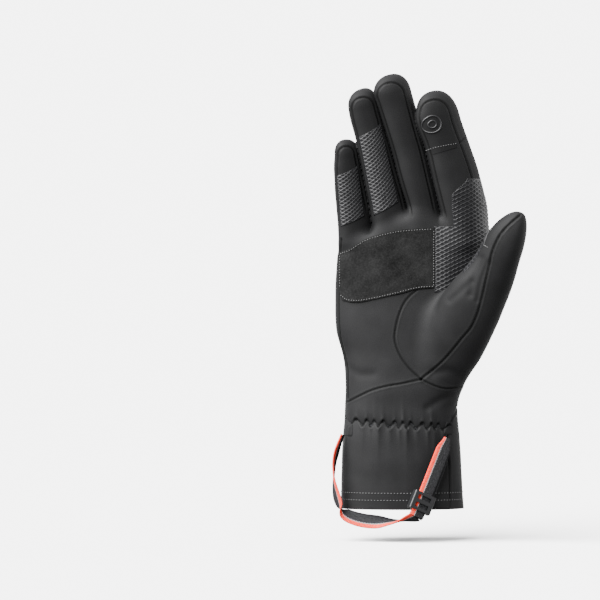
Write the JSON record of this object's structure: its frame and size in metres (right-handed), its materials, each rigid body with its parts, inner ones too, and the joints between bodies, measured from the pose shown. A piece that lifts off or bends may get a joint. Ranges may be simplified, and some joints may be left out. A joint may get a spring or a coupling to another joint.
{
  "type": "ski glove",
  "caption": "Thin softshell touring glove for the right hand with a long cuff, suede palm patch, printed grips and a webbing wrist leash with a slider.",
  "frame": {"origin": "centre of the cuff opening, in the plane of the hem", "axes": "+Z from the cuff to the fingertips, the palm faces -Y, the thumb is on the +X side"},
  "size_m": [0.1313, 0.0789, 0.2966],
  "materials": {
    "softshell": "matte stretch softshell with a fine knitted face",
    "softshell_side": "matte stretch softshell, slightly lighter side panels",
    "suede": "synthetic suede with a short nap",
    "grip": "silicone chain print, satin",
    "elastic": "woven elastic tape",
    "fleece": "brushed fleece backing",
    "thread": "polyester thread",
    "print": "flat transfer print",
    "webbing": "woven tape, dark with a coral edge",
    "plastic": "moulded acetal, fine grain"
  },
  "bodies": {
    "cuff": {"cuff_back_panel": "softshell", "cuff_palm_panel": "softshell", "cuff_hem_facing": "fleece", "hem_stitching": "thread", "wrist_elastic": "elastic", "leash_anchor_little_side": "webbing", "leash_anchor_thumb_side": "webbing"},
    "hand": {"wrist_band_back": "softshell", "wrist_band_palm": "softshell", "hand_back_panel": "softshell", "hand_palm_panel": "softshell", "thumb_gusset": "softshell", "radial_side_gusset": "softshell_side", "back_print": "print", "knuckle_band_back": "softshell", "knuckle_band_palm": "softshell", "palm_suede_patch": "suede", "palm_grip_print": "grip", "thumb_root_band": "softshell"},
    "fingers": {"finger_crotch_gusset": "softshell_side", "index_base_back": "softshell", "index_base_palm": "softshell", "middle_base_back": "softshell", "middle_base_palm": "softshell", "ring_base_back": "softshell", "ring_base_palm": "softshell", "little_base_back": "softshell", "little_base_palm": "softshell", "little_ring_fourchettes": "softshell_side", "ring_middle_fourchettes": "softshell_side", "middle_index_fourchettes": "softshell_side", "index_side_gusset": "softshell_side", "index_grip_panel": "grip", "ring_grip_print": "grip", "little_grip_print": "grip", "index_knuckle_band": "softshell", "middle_knuckle_band": "softshell", "ring_knuckle_band": "softshell", "little_knuckle_band": "softshell"},
    "index_tip": {"index_tip_back": "softshell", "index_tip_palm": "softshell", "index_touch_patch": "suede", "touch_emblem": "grip"},
    "middle_tip": {"middle_tip_back": "softshell", "middle_tip_palm": "softshell"},
    "ring_tip": {"ring_tip_back": "softshell", "ring_tip_palm": "softshell"},
    "little_tip": {"little_tip_back": "softshell", "little_tip_palm": "softshell"},
    "thumb_base": {"thumb_base_back": "softshell", "thumb_base_palm": "softshell", "thumb_knuckle_band": "softshell", "thumb_grip_pad": "grip"},
    "thumb_tip": {"thumb_tip_back": "softshell", "thumb_tip_palm": "softshell"},
    "leash": {"leash_webbing": "webbing", "leash_adjuster_strap": "webbing", "leash_doubled_strap": "webbing"},
    "slider": {"leash_slider": "plastic"}
  },
  "joints": [
    {"name": "wrist_flex", "type": "hinge", "parent": "cuff", "child": "hand", "pos_m": [0, 0, 0.077], "axis": [1, 0, 0], "range_deg": [-40, 40], "stiffness_Nm_per_rad": 0.4, "deforming": ["wrist_band_back", "wrist_band_palm"]},
    {"name": "knuckle_flex", "type": "hinge", "parent": "hand", "child": "fingers", "pos_m": [0.0075, 0, 0.17], "axis": [1, 0, 0], "range_deg": [0, 45], "stiffness_Nm_per_rad": 0.15, "deforming": ["knuckle_band_back", "knuckle_band_palm", "palm_suede_patch", "palm_grip_print"]},
    {"name": "index_finger_flex", "type": "hinge", "parent": "fingers", "child": "index_tip", "pos_m": [0.03352, -0.00355, 0.21881], "axis": [0.963, 0, 0.2694], "range_deg": [0, 60], "stiffness_Nm_per_rad": 0.03, "deforming": ["index_knuckle_band"]},
    {"name": "middle_finger_flex", "type": "hinge", "parent": "fingers", "child": "middle_tip", "pos_m": [0.007, -0.00311, 0.22392], "axis": [0.97, 0, 0.243], "range_deg": [0, 60], "stiffness_Nm_per_rad": 0.03, "deforming": ["middle_knuckle_band"]},
    {"name": "ring_finger_flex", "type": "hinge", "parent": "fingers", "child": "ring_tip", "pos_m": [-0.01368, -0.00323, 0.21576], "axis": [0.98, 0, 0.1992], "range_deg": [0, 60], "stiffness_Nm_per_rad": 0.03, "deforming": ["ring_knuckle_band", "ring_grip_print"]},
    {"name": "little_finger_flex", "type": "hinge", "parent": "fingers", "child": "little_tip", "pos_m": [-0.03369, -0.0034, 0.20374], "axis": [0.9946, 0, 0.1036], "range_deg": [0, 60], "stiffness_Nm_per_rad": 0.03, "deforming": ["little_knuckle_band", "little_grip_print"]},
    {"name": "thumb_base_flex", "type": "hinge", "parent": "hand", "child": "thumb_base", "pos_m": [0.04493, -0.02239, 0.12738], "axis": [0.714, -0.4731, -0.5161], "range_deg": [0, 20], "stiffness_Nm_per_rad": 0.06, "deforming": ["thumb_root_band"]},
    {"name": "thumb_tip_flex", "type": "hinge", "parent": "thumb_base", "child": "thumb_tip", "pos_m": [0.06222, -0.03553, 0.16333], "axis": [0.714, -0.4731, -0.5161], "range_deg": [0, 30], "stiffness_Nm_per_rad": 0.03, "deforming": ["thumb_knuckle_band", "thumb_grip_pad"]},
    {"name": "leash_swing", "type": "hinge", "parent": "cuff", "child": "leash", "pos_m": [0.02858, -0.0213, 0.04646], "axis": [-0.9861, 0.166, -0.0064], "range_deg": [0, 85]},
    {"name": "slider_slide", "type": "slide", "parent": "leash", "child": "slider", "axis": [0.3689, 0.2045, 0.9067], "range_m": [0, 0.022]}
  ]
}
